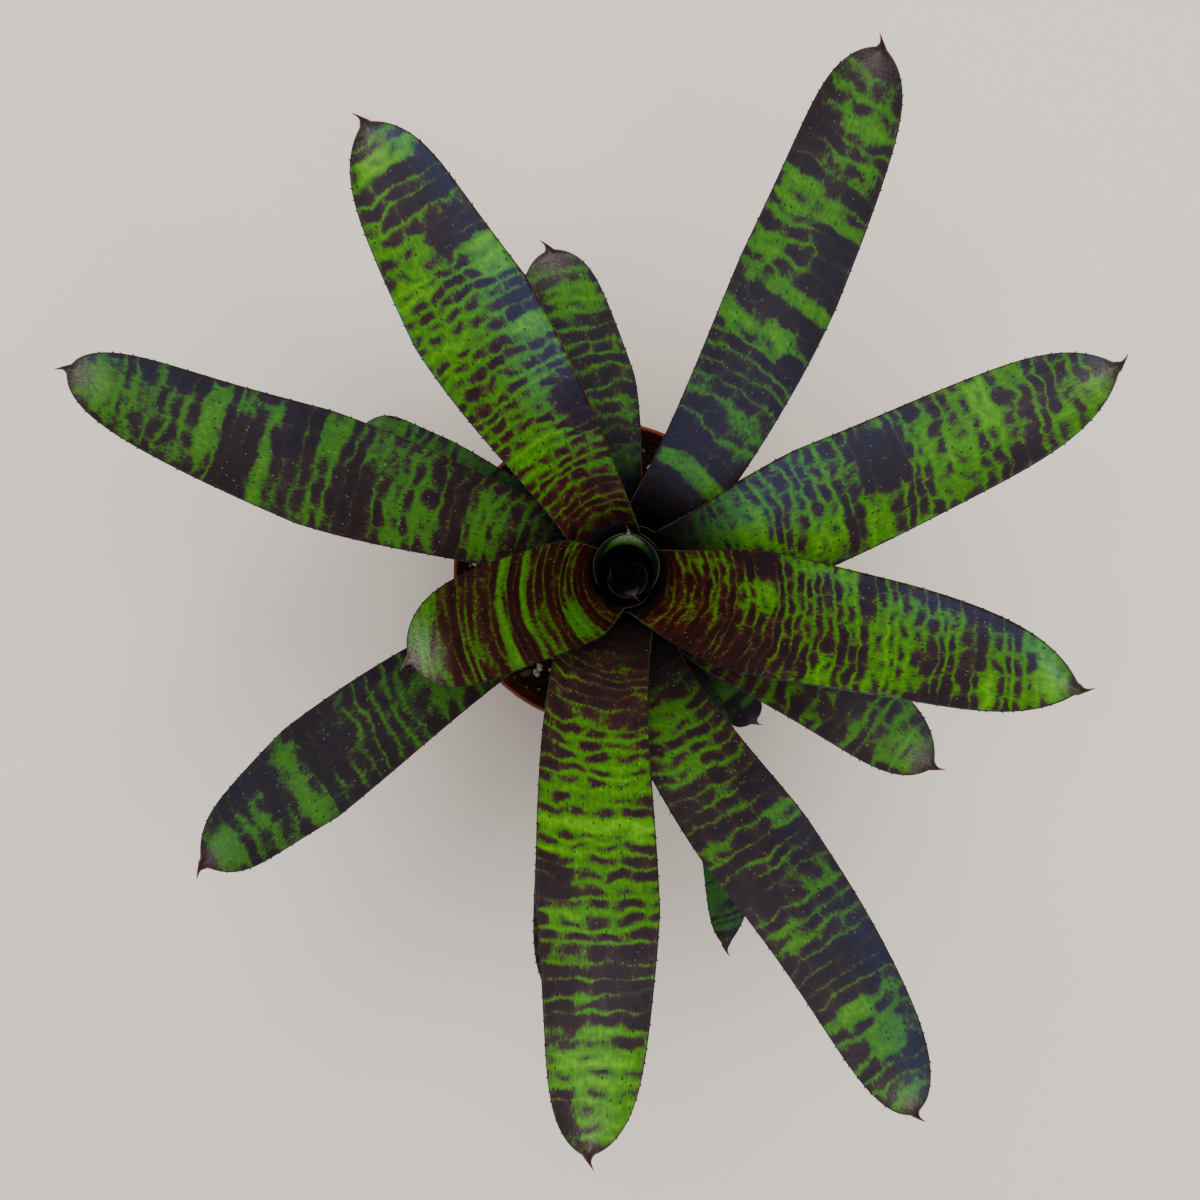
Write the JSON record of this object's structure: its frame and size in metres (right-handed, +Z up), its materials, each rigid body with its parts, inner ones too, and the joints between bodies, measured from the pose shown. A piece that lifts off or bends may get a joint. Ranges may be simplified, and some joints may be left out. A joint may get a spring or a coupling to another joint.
{
  "type": "potted neoregelia bromeliad",
  "caption": "Open rosette of strap leaves with zebra bands, spiny margins and a narrow central tank, growing in a small round plastic nursery pot.",
  "frame": {"origin": "middle of the pot's flat underside, where the pot stands", "axes": "+Z up, +Y towards the longest leaf of the back right, +X to the right when the rosette is seen from above with +Y at the top"},
  "size_m": [0.3141, 0.3318, 0.2339],
  "materials": {
    "pot_plastic": "terracotta-coloured moulded polypropylene, satin",
    "potting_mix": "dark damp bark and peat with pale perlite grains",
    "stem": "dull fibrous stem with old leaf scars",
    "leaf": "smooth leathery leaf, bright green with purple-black cross bands, satin gloss and fine pale scales"
  },
  "bodies": {
    "root": {"pot": "pot_plastic", "potting_mix": "potting_mix", "stem": "stem", "leaf_heart": "leaf", "leaf_tube": "leaf", "leaf_west": "leaf", "leaf_east": "leaf", "leaf_north_north_west": "leaf", "leaf_south": "leaf", "leaf_east_north_east": "leaf", "leaf_west_north_west": "leaf", "leaf_south_south_east": "leaf", "leaf_north_east": "leaf", "leaf_south_west": "leaf", "leaf_south_east": "leaf", "leaf_north": "leaf", "leaf_old_south": "leaf", "leaf_old_east": "leaf", "leaf_old_west": "leaf", "leaf_old_south_east": "leaf", "leaf_oldest": "leaf"}
  },
  "joints": []
}
